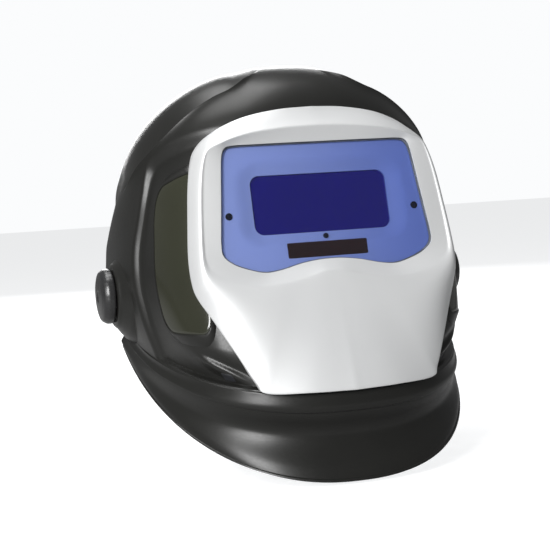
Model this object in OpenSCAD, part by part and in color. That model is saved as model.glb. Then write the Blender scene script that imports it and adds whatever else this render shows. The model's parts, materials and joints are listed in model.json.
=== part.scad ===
// Welding helmet: moulded shell, silver front cover, darkening filter cartridge,
// side windows, and an adjustable headgear with tilting pivots. Millimetres.
// Frame: origin midway between the two pivot knobs, Z up, front towards -Y,
// X towards the wearer's left.

/* [Shell] */
// wall thickness of the moulded shell
shell_wall = 2.6; // [2:0.1:4]
// depth of the side panels below the crown surface
recess_depth = 4; // [2:0.5:6]
// height of the ridge that crosses the crown
crest_height = 2.5; // [0:0.5:5]

// how far the cheeks stand out beside the cover
cheek_rise = 8; // [0:0.5:10]

/* [Front cover] */
// wall thickness of the front cover
cover_wall = 2.6; // [2:0.1:4]
// how far the cover edge folds back towards the shell, as a share of the full fold
cover_lip = 1; // [0.5:0.05:1]

/* [Filter cartridge] */
// lean of the filter plane from the vertical, degrees
lens_lean = 12; // [6:1:18]
// height of the filter centre above the pivots
lens_z = 59.3; // [50:0.1:70]
// distance of the filter centre in front of the pivots
lens_f = 101.85; // [95:0.05:110]
// width of the viewing window at its lower edge
window_w = 95.6; // [80:0.2:104]
// height of the viewing window
window_h = 40; // [34:0.5:46]
// diameter of one control button
button_d = 7; // [6:0.5:9]

/* [Pivots] */
// diameter of the tension knobs
knob_d = 39; // [34:0.5:44]
// outer face of a tension knob from the middle
knob_x = 137; // [132:0.5:140]
// bearing diameter of the pivot axle
axle_d = 12; // [10:0.5:14]

/* [Headgear] */
// inside width of the head band
band_w = 160; // [150:1:170]
// thickness of the band straps
strap_t = 2.2; // [1.6:0.1:3]
// slope of the nape strap, degrees
nape_tilt = 25; // [15:1:30]
// diameter of the ratchet knob
ratchet_d = 36; // [30:1:42]

/* [Hidden] */
$fn = 64;
band_r = band_w / 2;

// ---- shell surface: stations from the chin edge (0) over the front to the rear rim (12)
// [front F, front z, side F, side z, half width, roundness]; F is distance forward of the pivots
ST = [
  [149, -120, -20, -38, 117, 2.30],
  [146, -112, -21, -36, 118, 2.30],
  [136,  -92, -22, -34, 118, 2.30],
  [142,  -76, -23, -31, 116, 2.45],
  [141,  -64, -26, -26, 114, 2.50],
  [125,  -20, -31, -11, 121, 2.65],
  [108,   30, -32,   5, 125, 2.65],
  [ 96,   82, -37,  20, 123, 2.50],
  [ 79,  127, -44,  35, 120, 2.45],
  [ 45,  151, -50,  43, 115, 2.35],
  [  0,  155, -54,  50, 111, 2.35],
  [-49,  146, -60,  54, 108, 2.30],
  [-87,  124, -67,  56, 107, 2.30]
];
function clampv(v, a, b) = min(max(v, a), b);
function sstep(a, b, v) = let(q = clampv((v - a) / (b - a), 0, 1)) q * q * (3 - 2 * q);
function crv(p0, p1, p2, p3, f) =
  0.5 * (2 * p1 + (p2 - p0) * f + (2 * p0 - 5 * p1 + 4 * p2 - p3) * f * f
  + (3 * p1 - p0 - 3 * p2 + p3) * f * f * f);
function crp(T, u) =
  let(n = len(T) - 1)
  let(i = clampv(floor(u), 0, n - 1))
  let(f = u - i)
  let(p1 = T[i])
  let(p2 = T[i + 1])
  let(p0 = i > 0 ? T[i - 1] : 2 * p1 - p2)
  let(p3 = i < n - 1 ? T[i + 2] : 2 * p2 - p1)
  crv(p0, p1, p2, p3, f);
function sgn(v) = v < 0 ? -1 : 1;
// point of the bare surface; s = station, t = -1 right edge to +1 left edge
function bare(s, t) =
  let(v = crp(ST, s))
  let(th = 90 * (1 - t))
  let(c = cos(th))
  let(x = v[4] * sgn(c) * pow(abs(c), 2 / v[5]))
  let(h = pow(abs(sin(th)), 2 / v[5]))
  [x, -(v[2] + (v[0] - v[2]) * h), v[3] + (v[1] - v[3]) * h];
function unitv(v) = v / norm(v);
function outn(s, t) =
  let(q = clampv(t, -0.985, 0.985))
  let(a = clampv(s, 0.03, 11.97))
  let(ds = bare(a + 0.03, q) - bare(a - 0.03, q))
  let(dt = bare(a, q + 0.008) - bare(a, q - 0.008))
  unitv(cross(dt, ds));
// rear limit of the side panel across the arch, by station
function panel_t(s) = 0.76 - 0.04 * sstep(5.5, 7.0, s) - 0.13 * sstep(7.0, 7.85, s);
// station of the crown ridge, by position across the arch
function crest_s(t) =
  let(a = abs(t))
  9.3 - 0.55 * sstep(0, 0.2, a) - 0.9 * sstep(0.16, 0.62, a) - 0.15 * sstep(0.6, 0.75, a);
function relief(s, t) =
  let(a = abs(t))
  let(inside = sstep(4.06, 4.16, s) * (1 - sstep(7.74, 7.90, s)))
  let(side = 1 - sstep(panel_t(s) - 0.03, panel_t(s) + 0.03, a))
  let(k = crest_s(t))
  let(fade = 1 - sstep(0.66, 0.80, a))
  let(rise = s < k ? pow(2.718, -(k - s) / 0.35) : 1 - 1.6 * sstep(0, 0.25, s - k))
  let(back = 1 - sstep(0.3, 2.2, s - k))
  let(cheek = sstep(0.12, 0.40, a) * (1 - sstep(0.45, 0.72, a)))
  let(run = sstep(4.1, 4.7, s) * (1 - sstep(7.0, 7.75, s)))
  -recess_depth * inside * side + cheek_rise * cheek * run
  + crest_height * fade * rise * back;
function outer(s, t) = bare(s, t) + outn(s, t) * relief(s, t);
function inner(s, t) = bare(s, t) + outn(s, t) * (relief(s, t) - shell_wall);

SV = [0, 0.3, 0.7, 1.1, 1.6, 2.1, 2.6, 3.0, 3.4, 3.8, 4.06, 4.16, 4.35, 4.6, 4.9, 5.25, 5.6,
      6.0, 6.5, 7.0, 7.3, 7.58, 7.74, 7.9, 8.02, 8.15, 8.3, 8.45, 8.6, 8.75, 8.9, 9.05, 9.2, 9.35,
      9.55, 9.8, 10.2, 10.8, 11.4, 12];
TH = [0.08, 0.16, 0.24, 0.30, 0.35, 0.40, 0.44, 0.50, 0.56, 0.61, 0.65, 0.69, 0.73, 0.77,
      0.82, 0.87, 0.91, 0.95, 0.98, 1];
NTH = len(TH);
TV = [for (i = [0 : 2 * NTH]) i < NTH ? -TH[NTH - 1 - i] : (i == NTH ? 0 : TH[i - NTH - 1])];
NS = len(SV);
NT = len(TV);
// cells left out: filter port, side windows, jaw vents
function open_cell(i, j) =
  let(s = (SV[i] + SV[i + 1]) / 2)
  let(a = abs(TV[j] + TV[j + 1]) / 2)
  (s > 5.6 && s < 7.58 && a < 0.35)
  || (s > 5.25 && s < 7.0 && a > 0.44 && a < 0.56)
  || (s > 4.35 && s < 4.6 && a > 0.44 && a < 0.50);
function kept(i, j) = i >= 0 && i < NS - 1 && j >= 0 && j < NT - 1 && !open_cell(i, j);
function oid(i, j) = i * NT + j;
function iid(i, j) = NS * NT + i * NT + j;
function quad(a, b, c, d) = [[a, b, c], [a, c, d]];

module shell_skin() {
  pts = concat(
    [for (i = [0 : NS - 1]) for (j = [0 : NT - 1]) outer(SV[i], TV[j])],
    [for (i = [0 : NS - 1]) for (j = [0 : NT - 1]) inner(SV[i], TV[j])]);
  skin = [for (i = [0 : NS - 2]) for (j = [0 : NT - 2]) if (kept(i, j))
    for (f = concat(
      quad(oid(i, j), oid(i + 1, j), oid(i + 1, j + 1), oid(i, j + 1)),
      quad(iid(i, j), iid(i, j + 1), iid(i + 1, j + 1), iid(i + 1, j)))) f];
  edge = [for (i = [0 : NS - 2]) for (j = [0 : NT - 2]) if (kept(i, j))
    for (f = concat(
      kept(i - 1, j) ? [] : quad(oid(i, j), oid(i, j + 1), iid(i, j + 1), iid(i, j)),
      kept(i + 1, j) ? [] : quad(oid(i + 1, j + 1), oid(i + 1, j), iid(i + 1, j), iid(i + 1, j + 1)),
      kept(i, j - 1) ? [] : quad(oid(i + 1, j), oid(i, j), iid(i, j), iid(i + 1, j)),
      kept(i, j + 1) ? [] : quad(oid(i, j + 1), oid(i + 1, j + 1), iid(i + 1, j + 1), iid(i, j + 1)))) f];
  used = [for (f = concat(skin, edge)) f];
  polyhedron(points = pts, faces = used, convexity = 10);
}

// ---- local frames
module lens() {
  translate([0, -lens_f, lens_z]) rotate([90 - lens_lean, 0, 0]) children();
}
module sidepair(s) {
  if (s > 0) children();
  if (s < 0) mirror([1, 0, 0]) children();
}
module rbox(w, h, r, z0, z1) {
  translate([-w / 2 + r, -h / 2, z0]) cube([w - 2 * r, h, z1 - z0]);
  translate([-w / 2, -h / 2 + r, z0]) cube([w, h - 2 * r, z1 - z0]);
  for (a = [-1, 1]) for (b = [-1, 1])
    translate([a * (w / 2 - r), b * (h / 2 - r), z0]) cylinder(r = r, h = z1 - z0);
}
function plane_f(z) = lens_f + (lens_z - z) * tan(lens_lean);

// ---- shell
boss_x0 = 117.6;
boss_x1 = 126.6;
module boss() {
  translate([boss_x0, 0, 0]) rotate([0, 90, 0]) cylinder(d = 50, h = boss_x1 - boss_x0);
}
module boss_bore() {
  translate([boss_x0 - 4, 0, 0]) rotate([0, 90, 0]) cylinder(d = axle_d + 0.1, h = 18);
}
module boss_pocket() {
  translate([boss_x0 - 7, 0, 0]) rotate([0, 90, 0]) cylinder(d = 44, h = 7);
}
module port_rim() {
  lens() difference() {
    translate([0, 1.5, 0]) rbox(151, 97, 23, -16, -8.5);
    translate([0, 1.5, 0]) rbox(144.6, 90.4, 17, -17, -5);
  }
}
module shell() {
  color("#26272a") difference() {
    union() {
      shell_skin();
      boss();
      mirror([1, 0, 0]) boss();
      port_rim();
    }
    boss_pocket();
    mirror([1, 0, 0]) boss_pocket();
    boss_bore();
    mirror([1, 0, 0]) boss_bore();
  }
}

// ---- patches that follow the shell: side windows and jaw vent inserts
module patch(sv, tv, d0, d1) {
  ns = len(sv);
  nt = len(tv[0]);
  function q(i, j, d) = bare(sv[i], tv[i][j])
    + outn(sv[i], tv[i][j]) * (relief(sv[i], tv[i][j]) + d);
  function a(i, j) = i * nt + j;
  function b(i, j) = ns * nt + i * nt + j;
  pts = concat(
    [for (i = [0 : ns - 1]) for (j = [0 : nt - 1]) q(i, j, d1)],
    [for (i = [0 : ns - 1]) for (j = [0 : nt - 1]) q(i, j, d0)]);
  fs = concat(
    [for (i = [0 : ns - 2]) for (j = [0 : nt - 2]) for (f = concat(
      quad(a(i, j), a(i + 1, j), a(i + 1, j + 1), a(i, j + 1)),
      quad(b(i, j), b(i, j + 1), b(i + 1, j + 1), b(i + 1, j)))) f],
    [for (i = [0 : ns - 2]) for (f = concat(
      quad(a(i + 1, 0), a(i, 0), b(i, 0), b(i + 1, 0)),
      quad(a(i, nt - 1), a(i + 1, nt - 1), b(i + 1, nt - 1), b(i, nt - 1)))) f],
    [for (j = [0 : nt - 2]) for (f = concat(
      quad(a(0, j), a(0, j + 1), b(0, j + 1), b(0, j)),
      quad(a(ns - 1, j + 1), a(ns - 1, j), b(ns - 1, j), b(ns - 1, j + 1)))) f]);
  polyhedron(points = pts, faces = fs, convexity = 6);
}
// front and rear limits of the side window, by station
win_t0 = 0.422;
function win_t(s) = 0.67 - 0.05 * sstep(5.2, 6.4, s) - 0.16 * sstep(6.6, 7.5, s);
module side_window(sg) {
  sv = [for (i = [0 : 12]) 4.8 + 2.5 * i / 12];
  tv = [for (i = [0 : 12]) [for (j = [0 : 6]) sg * (win_t0 + (win_t(sv[i]) - win_t0) * (sg > 0 ? j : 6 - j) / 6)]];
  color("#22241c") patch(sv, tv, 0.35, 2.0);
}
module side_window_left() { side_window(1); }
module side_window_right() { side_window(-1); }
module vent_insert(sg) {
  sv = [for (i = [0 : 4]) 4.28 + 0.42 * i / 4];
  tv = [for (i = [0 : 4]) [for (j = [0 : 5]) sg * (0.405 + 0.125 * (sg > 0 ? j : 5 - j) / 5)]];
  color("#1d1e20") patch(sv, tv, 0.35, 1.8);
}
module vent_insert_left() { vent_insert(1); }
module vent_insert_right() { vent_insert(-1); }

// ---- front cover: rings between the opening and the outline
// opening in the filter plane, [half width, height], top middle to bottom middle
OPENING = [
  [0, 40.3], [22, 40.3], [44, 40.2], [58, 40], [63.6, 38.5], [66.3, 33.5],
  [68, 22], [70, 4], [72, -13], [73.3, -25], [72.6, -33], [66, -39],
  [55, -43.5], [45, -45.7], [34, -44.5], [20, -41.2], [8, -39.6], [0, -39.3]
];
// outline of the cover, [half width, z, F, depth of the folded lip]
OUTLINE = [
  [0, 122.5, 88, 5], [22, 121.5, 87, 4.7], [44, 118, 85, 6], [60, 112.5, 82, 8],
  [71, 106, 80, 11], [78, 99, 79, 11], [82.5, 91, 79.5, 8.5], [87, 75, 83, 4.2],
  [90, 52, 88, 3.8], [92.5, 27, 93.5, 3.7], [92.6, 11, 99.5, 5.2], [90.6, 1, 103.5, 4.5],
  [83, -14, 112, 4.2], [72, -36, 124, 5.4], [63, -54, 132.5, 9], [57, -60.8, 137, 6],
  [30, -62, 144, 4], [0, -62.6, 146.5, 4]
];
// forward distance of the cover on its centre line, by z from -65 in steps of 15
COVER_F = [147.5, 141.5, 135.3, 129.2, 123.5, 118.2, 113.4, 109.4, 105.8, 102.4, 99.0, 95.4, 90.6, 82];
function cover_f(z) = crp(COVER_F, clampv((z + 65) / 15, 0, 12.99));
RING = [0, 0.12, 0.26, 0.42, 0.58, 0.73, 0.86, 0.95, 1];
K = 34;
function loop2(T, k) =
  let(u = k <= K ? k / 2 : K - k / 2)
  let(v = crp(T, clampv(u, 0, 16.999)))
  k <= K ? v : concat([-v[0]], [for (i = [1 : len(v) - 1]) v[i]]);
function in_pt(k) =
  let(v = loop2(OPENING, k))
  [v[0], -lens_f + v[1] * sin(lens_lean), lens_z + v[1] * cos(lens_lean)];
function ring_pt(k, r) =
  let(a = in_pt(k))
  let(o = loop2(OUTLINE, k))
  let(x = a[0] + (o[0] - a[0]) * r)
  let(z = a[2] + (o[1] - a[2]) * r)
  r == 0 ? [x, a[1] - 0.5, z]
         : [x, -(cover_f(z) - (cover_f(o[1]) - o[2]) * pow(r, 2.6)), z];
function back_pt(k, r) =
  let(p = ring_pt(k, r))
  let(n = len(RING))
  r == 1 ? [p[0] * 0.975, p[1] + cover_wall, p[2] - sgn(p[2] - 30) * 1.2]
         : [p[0], p[1] + (r == 0 ? 0.4 : cover_wall), p[2]];
NR = len(RING);
NK = 2 * K;
module front_cover() {
  // front rings, then the folded lip, then the back rings towards the opening
  function fold(k) = loop2(OUTLINE, k)[3] * cover_lip;
  function lip_f(k) = let(p = ring_pt(k, 1)) [p[0], p[1] + fold(k), p[2]];
  function lip_b(k) = let(p = back_pt(k, 1)) [p[0], ring_pt(k, 1)[1] + fold(k), p[2]];
  rows = concat(
    [for (r = RING) [for (k = [0 : NK - 1]) ring_pt(k, r)]],
    [[for (k = [0 : NK - 1]) lip_f(k)], [for (k = [0 : NK - 1]) lip_b(k)]],
    [for (i = [NR - 1 : -1 : 0]) [for (k = [0 : NK - 1]) back_pt(k, RING[i])]]);
  m = len(rows);
  pts = [for (row = rows) for (p = row) p];
  fs = [for (i = [0 : m - 1]) for (k = [0 : NK - 1]) for (f = quad(
    i * NK + k, ((i + 1) % m) * NK + k,
    ((i + 1) % m) * NK + (k + 1) % NK, i * NK + (k + 1) % NK)) f];
  color("#c9cccf") polyhedron(points = pts, faces = fs, convexity = 8);
}
module opening_2d(grow) {
  pts = [for (k = [0 : NK - 1]) let(v = loop2(OPENING, k))
    [v[0] * (1 + grow / 72), v[1] * (1 + grow / 42)]];
  polygon(pts);
}
module outer_plate() {
  color("#aab8dc") lens() translate([0, 0, -1.5]) linear_extrude(height = 1.0) opening_2d(1.2);
}
module plate_retainer() {
  color("#b4b7ba") lens() difference() {
    translate([0, 0, -2.5]) linear_extrude(height = 1.9) opening_2d(2.8);
    translate([0, 0, -1.5]) linear_extrude(height = 2.3) opening_2d(1.2);
    translate([0, 0, -3]) linear_extrude(height = 4) opening_2d(-0.8);
  }
}

// ---- filter cartridge, in the frame of the filter plane
module window_hole(w, z0, z1, r) {
  rbox(w, window_h, r, z0, z1);
}
module filter_bezel() {
  color("#6a7fc4") lens() difference() {
    translate([0, 0, -4.9]) linear_extrude(height = 2.0) opening_2d(0.8);
    window_hole(window_w, -6, -2, 6);
    translate([0, -32, -6]) translate([-28.2, -5.4, 0]) cube([56.4, 10.8, 4]);
    translate([65.1, -6.6, -6]) cylinder(d = 5, h = 4);
    translate([-65.1, -6.6, -6]) cylinder(d = 5, h = 4);
    translate([0, -23.2, -6]) cylinder(d = 3.6, h = 4);
  }
}
module filter_housing() {
  color("#1c1d21") lens() difference() {
    translate([0, 3, 0]) rbox(140, 86, 14, -17, -4.9);
    translate([0, 3, 0]) rbox(136, 82, 12, -15, -4);
    rbox(window_w + 2, window_h + 2, 4, -18, -14);
    for (s = [-1, 1]) translate([s * 55 - 15.2, 22.4, -13.2]) cube([30.4, 21.8, 6.4]);
  }
}
module filter_glass() {
  color("#191440") lens() rbox(104, 44, 3, -12, -7);
}
module circuit_board() {
  color("#1f5a3a") lens() translate([0, 33.4, 0]) rbox(62, 18, 1.5, -8.6, -7.0);
}
module solar_cell() {
  color("#33110f") lens() translate([-27.8, -37.0, -5.6]) cube([55.6, 10.0, 2.3]);
}
module arc_sensor(x, y, d) {
  color("#15162c") lens() translate([x, y, -6.6]) cylinder(d = d, h = 3.2);
}
module arc_sensor_left() { arc_sensor(65.1, -6.6, 4.6); }
module arc_sensor_right() { arc_sensor(-65.1, -6.6, 4.6); }
module arc_sensor_centre() { arc_sensor(0, -23.2, 3.2); }
module battery_tray(s) {
  sidepair(s) color("#2a2b30") lens() difference() {
    intersection() {
      translate([40, 22.7, -12.9]) cube([29.8, 21.2, 5.8]);
      translate([0, 3, 0]) rbox(139.4, 85.4, 13.7, -14, -6);
    }
    translate([53, 33.3, -12.2]) cylinder(d = 20.2, h = 6);
  }
}
module battery_tray_left() { battery_tray(1); }
module battery_tray_right() { battery_tray(-1); }
module coin_cell(s) {
  sidepair(s) color("#b9bcc0") lens() translate([53, 33.3, -12.1]) {
    cylinder(d = 20, h = 2.4);
    cylinder(d = 17.6, h = 3.2);
  }
}
module coin_cell_left() { coin_cell(1); }
module coin_cell_right() { coin_cell(-1); }
module inner_plate() {
  color("#b9c2c8") lens() rbox(108, 46, 3, -18.2, -17.1);
}
module inner_plate_frame() {
  color("#212226") lens() difference() {
    rbox(118, 52, 4, -19.2, -17.0);
    rbox(108.4, 46.4, 3, -18.3, -16);
    rbox(102, 40.5, 2.5, -20, -16);
  }
}
panel_y = -32.2;
module control_panel() {
  color("#2c2d33") lens() difference() {
    translate([0, panel_y, 0]) rbox(104, 11.4, 2, -19.0, -17.0);
    for (i = [-2 : 2]) translate([i * 20, panel_y, -20]) cylinder(d = button_d + 0.7, h = 2.2);
  }
}
module panel_button(i) {
  color("#55575c") lens() translate([i * 20, panel_y, -20.3]) cylinder(d = button_d, h = 1.6);
}
module button_on() { panel_button(-2); }
module button_shade() { panel_button(-1); }
module button_sens() { panel_button(0); }
module button_delay() { panel_button(1); }
module button_grind() { panel_button(2); }
module cartridge_clamp() {
  // spring-steel bows that hold the cartridge in the port from behind
  color("#8c8f94") lens() for (s = [-1, 1]) sidepair(s) {
    translate([59.5, -12, -18.4]) cube([12.7, 24, 1.4]);
    translate([70.6, -12, -17.0]) cube([1.6, 24, 3.0]);
  }
}

// ---- headgear
module ring2(a) {
  translate([0, 8]) circle(r = band_r + a);
  translate([-band_r - a, 8]) square([2 * (band_r + a), 38]);
  translate([0, 46]) circle(r = band_r + a);
}
module band_ring(a0, a1, h) {
  linear_extrude(height = h) difference() {
    ring2(a1);
    ring2(a0);
  }
}
module front_band() {
  color("#303135") difference() {
    intersection() {
      translate([0, 0, 14]) band_ring(0, strap_t, 26);
      translate([-100, -100, 0]) cube([200, 150, 60]);
    }
    // lower rear corners cut away, where the nape strap slides past
    translate([-100, 34.5, 10]) cube([200, 20, 11]);
  }
}
module sweatband() {
  color("#3b3d42") intersection() {
    translate([0, 0, 12]) band_ring(-5.3, -0.3, 30);
    translate([-72, -90, 0]) cube([144, 74, 60]);
  }
}
strap_x = band_r + strap_t;
module crown_strap(y0) {
  color("#2b2c30") {
    difference() {
      translate([0, y0, 30]) rotate([-90, 0, 0]) cylinder(r = strap_x + 1.8, h = 14);
      translate([0, y0 - 1, 30]) rotate([-90, 0, 0]) cylinder(r = strap_x, h = 16);
      translate([-100, y0 - 1, -60]) cube([200, 16, 90]);
      translate([0, 0, 20]) linear_extrude(height = 20.2) ring2(strap_t);
    }
    for (s = [-1, 1]) sidepair(s) translate([strap_x, y0, 27]) cube([1.8, 14, 3.2]);
  }
}
module crown_strap_front() { crown_strap(-6); }
module crown_strap_rear() { crown_strap(34); }
module crown_pad() {
  color("#3b3d42") intersection() {
    translate([0, -8, 30]) rotate([-90, 0, 0]) difference() {
      cylinder(r = strap_x - 0.3, h = 58);
      translate([0, 0, -1]) cylinder(r = strap_x - 6.3, h = 60);
    }
    translate([-26, -20, 60]) cube([52, 90, 60]);
  }
}
module strap_rivets() {
  color("#8f9297") for (s = [-1, 1]) for (y = [1, 41]) sidepair(s)
    translate([strap_x + 1.8, y, 36]) rotate([0, 90, 0]) cylinder(d = 6, h = 1.2);
}
module pivot_bracket(s) {
  sidepair(s) color("#2f3034") difference() {
    union() {
      translate([88, -17, -6]) cube([3, 34, 46]);
      translate([88, 0, 0]) rotate([0, 90, 0]) cylinder(d = 34, h = 3);
      translate([91, 0, 0]) rotate([0, 90, 0]) cylinder(d = 30, h = 19);
      translate([77, -17, 17]) cube([11.05, 9.5, 20]);
      translate([77, -8, 17]) cube([11.05, 14, 9.5]);
    }
    translate([0, 0, 10]) linear_extrude(height = 34) ring2(strap_t);
    translate([87, 0, 0]) rotate([0, 90, 0]) cylinder(d = axle_d, h = 24);
  }
}
module pivot_bracket_left() { pivot_bracket(1); }
module pivot_bracket_right() { pivot_bracket(-1); }
module xcyl(x0, x1, d) {
  translate([x0, 0, 0]) rotate([0, 90, 0]) cylinder(d = d, h = x1 - x0);
}
module pivot_axle(s) {
  sidepair(s) color("#9a9da2") {
    xcyl(85.3, 88, 18);
    xcyl(88, 130, axle_d);
    xcyl(130, 135.2, 8);
  }
}
module pivot_axle_left() { pivot_axle(1); }
module pivot_axle_right() { pivot_axle(-1); }
module friction_washer(s) {
  sidepair(s) color("#5b5045") difference() {
    xcyl(110, 114.9, 30);
    xcyl(109, 116, axle_d);
  }
}
module friction_washer_left() { friction_washer(1); }
module friction_washer_right() { friction_washer(-1); }
module stop_washer(s) {
  sidepair(s) color("#3a3b3f") difference() {
    union() {
      xcyl(115.3, boss_x0, 36);
      translate([115.3, -3, 14]) cube([boss_x0 - 115.3, 6, 7]);
    }
    xcyl(115, 118, axle_d + 0.1);
  }
}
module stop_washer_left() { stop_washer(1); }
module stop_washer_right() { stop_washer(-1); }
module spring_washer(s) {
  sidepair(s) color("#a3a6aa") difference() {
    xcyl(127.5, 129.1, 23);
    xcyl(127, 130, axle_d);
  }
}
module spring_washer_left() { spring_washer(1); }
module spring_washer_right() { spring_washer(-1); }
module tension_knob(s) {
  sidepair(s) color("#1f2023") difference() {
    union() {
      xcyl(127.2, knob_x - 2.2, knob_d);
      translate([knob_x - 2.2, 0, 0]) rotate([0, 90, 0])
        cylinder(d1 = knob_d, d2 = knob_d - 7, h = 2.2);
    }
    for (a = [0 : 30 : 330]) rotate([a, 0, 0]) translate([127, 0, knob_d / 2 + 2.4])
      rotate([0, 90, 0]) cylinder(d = 6.4, h = 6.4);
    xcyl(127, 129.5, 24);
    xcyl(129, 130.4, axle_d + 0.6);
    xcyl(130, 135.6, 8.06);
  }
}
module tension_knob_left() { tension_knob(1); }
module tension_knob_right() { tension_knob(-1); }

// ---- nape cradle, sliding along the sloped strap line
module nape() {
  translate([0, 20, 22]) rotate([-nape_tilt, 0, 0]) translate([0, -20, 0]) children();
}
arm_in = strap_t + 0.4;
arm_out = strap_t + 2.4;
rear_y = 46 + band_r + arm_out;
module band_guide(s) {
  sidepair(s) color("#2f3034") difference() {
    nape() difference() {
      translate([strap_x - 3, 20, -9.3]) cube([8.4, 13, 18.6]);
      translate([strap_x - 4, 19, -7.35]) cube([4 + 2.75, 15, 14.7]);
    }
    translate([0, 0, -20]) linear_extrude(height = 80) ring2(strap_t);
  }
}
module band_guide_left() { band_guide(1); }
module band_guide_right() { band_guide(-1); }
module nape_band() {
  color("#303135") nape() intersection() {
    translate([0, 0, -7]) band_ring(arm_in, arm_out, 14);
    translate([-100, 19, -10]) cube([200, 130, 20]);
  }
}
module nape_pad() {
  color("#3b3d42") nape() intersection() {
    translate([0, 0, -11]) band_ring(arm_in - 6.3, arm_in - 0.3, 22);
    translate([-62, 70, -12]) cube([124, 70, 24]);
  }
}
module ycyl(y0, y1, d) {
  translate([0, y0, 0]) rotate([-90, 0, 0]) cylinder(d = d, h = y1 - y0);
}
hs = 139;
module ratchet_housing() {
  color("#2a2b2f") nape() difference() {
    translate([-32, 112, -15]) cube([64, hs - 2 - 112, 30]);
    translate([0, 46, -20]) cylinder(r = band_r + arm_out, h = 40);
    translate([-14, 132, -10.2]) cube([28, 8, 20.4]);
  }
}
module ratchet_cover() {
  color("#2a2b2f") nape() difference() {
    translate([-29, hs - 2, -13]) cube([58, 2, 26]);
    ycyl(hs - 3, hs + 1, 8.1);
  }
}
module ratchet_knob() {
  color("#1f2023") nape() {
    difference() {
      ycyl(hs + 0.6, hs + 10, ratchet_d);
      for (a = [0 : 24 : 336]) rotate([0, a, 0]) translate([0, 0, ratchet_d / 2 + 1.6])
        ycyl(hs, hs + 11, 5.2);
    }
    ycyl(137, hs + 1, 8);
  }
}
module ratchet_pinion() {
  color("#7d7f83") nape() {
    ycyl(132.6, 136.6, 10.4);
    for (a = [0 : 36 : 324]) rotate([0, a, 0]) translate([-0.9, 132.6, 4]) cube([1.8, 4, 2.6]);
    ycyl(136.5, 137, 8);
  }
}
module nape_rack() {
  color("#303135") nape() {
    translate([-13.7, 132.4, -10.0]) cube([27.4, 4.4, 1.8]);
    for (i = [-5 : 5]) translate([i * 2.4 - 0.5, 132.4, -8.3]) cube([1, 4.4, 1.2]);
  }
}
module ratchet_pawl() {
  color("#a3a6aa") nape() {
    translate([8.6, 132.4, -6.6]) cube([0.8, 4.4, 16.6]);
    translate([8.6, 132.4, 9.2]) cube([5.2, 4.4, 0.8]);
  }
}
module housing_screws() {
  color("#8f9297") nape() for (x = [-24, 24]) for (z = [-9, 9])
    translate([x, hs, z]) rotate([-90, 0, 0]) difference() {
      cylinder(d = 5, h = 1.4);
      translate([-2, -0.5, 0.7]) cube([4, 1, 1]);
    }
}

shell();
front_cover();
outer_plate();
plate_retainer();
filter_bezel();
filter_housing();
filter_glass();
circuit_board();
solar_cell();
arc_sensor_left();
arc_sensor_right();
arc_sensor_centre();
battery_tray_left();
battery_tray_right();
coin_cell_left();
coin_cell_right();
inner_plate();
inner_plate_frame();
control_panel();
button_on();
button_shade();
button_sens();
button_delay();
button_grind();
cartridge_clamp();
side_window_left();
side_window_right();
vent_insert_left();
vent_insert_right();
front_band();
sweatband();
crown_strap_front();
crown_strap_rear();
crown_pad();
strap_rivets();
pivot_bracket_left();
pivot_bracket_right();
pivot_axle_left();
pivot_axle_right();
friction_washer_left();
friction_washer_right();
stop_washer_left();
stop_washer_right();
spring_washer_left();
spring_washer_right();
tension_knob_left();
tension_knob_right();
band_guide_left();
band_guide_right();
nape_band();
nape_pad();
ratchet_housing();
ratchet_cover();
ratchet_knob();
ratchet_pinion();
nape_rack();
ratchet_pawl();
housing_screws();
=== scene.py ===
"""Welding helmet with a darkening filter: the visible model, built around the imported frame.

Lengths are millimetres until a mesh is made. X is the wearer's left, Z is up, and the front
faces -Y, so "forward" below is -Y. The origin is midway between the two tilt pivots.
"""

import json
import math

import bmesh
import bpy
import numpy as np
from mathutils import Matrix, Vector


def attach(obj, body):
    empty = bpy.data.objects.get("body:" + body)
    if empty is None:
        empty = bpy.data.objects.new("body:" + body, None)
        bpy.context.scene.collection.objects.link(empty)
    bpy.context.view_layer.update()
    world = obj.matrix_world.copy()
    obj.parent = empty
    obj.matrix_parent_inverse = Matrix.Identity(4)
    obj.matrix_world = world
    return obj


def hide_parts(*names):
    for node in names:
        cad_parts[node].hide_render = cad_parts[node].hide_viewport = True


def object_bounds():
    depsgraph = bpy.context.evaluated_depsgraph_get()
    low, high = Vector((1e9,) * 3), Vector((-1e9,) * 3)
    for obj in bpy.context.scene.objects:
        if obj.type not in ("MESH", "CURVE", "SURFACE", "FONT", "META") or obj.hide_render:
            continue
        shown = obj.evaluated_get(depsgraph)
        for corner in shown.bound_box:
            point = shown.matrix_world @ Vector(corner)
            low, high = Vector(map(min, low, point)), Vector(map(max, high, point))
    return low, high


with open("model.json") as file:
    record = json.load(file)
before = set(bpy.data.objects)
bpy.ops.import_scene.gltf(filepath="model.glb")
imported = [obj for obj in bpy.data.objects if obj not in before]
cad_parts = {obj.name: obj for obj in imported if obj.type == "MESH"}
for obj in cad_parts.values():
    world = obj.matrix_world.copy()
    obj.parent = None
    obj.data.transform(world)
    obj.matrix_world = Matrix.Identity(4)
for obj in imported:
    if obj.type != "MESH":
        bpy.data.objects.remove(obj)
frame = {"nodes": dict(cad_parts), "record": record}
cad_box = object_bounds()
nodes = frame["nodes"]
MM = 0.001

# ---------------------------------------------------------------- numbers and curves


def step(low, high, value):
    """0 below low, 1 above high, and a smooth cubic rise between them."""
    q = np.clip((value - low) / (high - low), 0, 1)
    return q * q * (3 - 2 * q)


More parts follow.
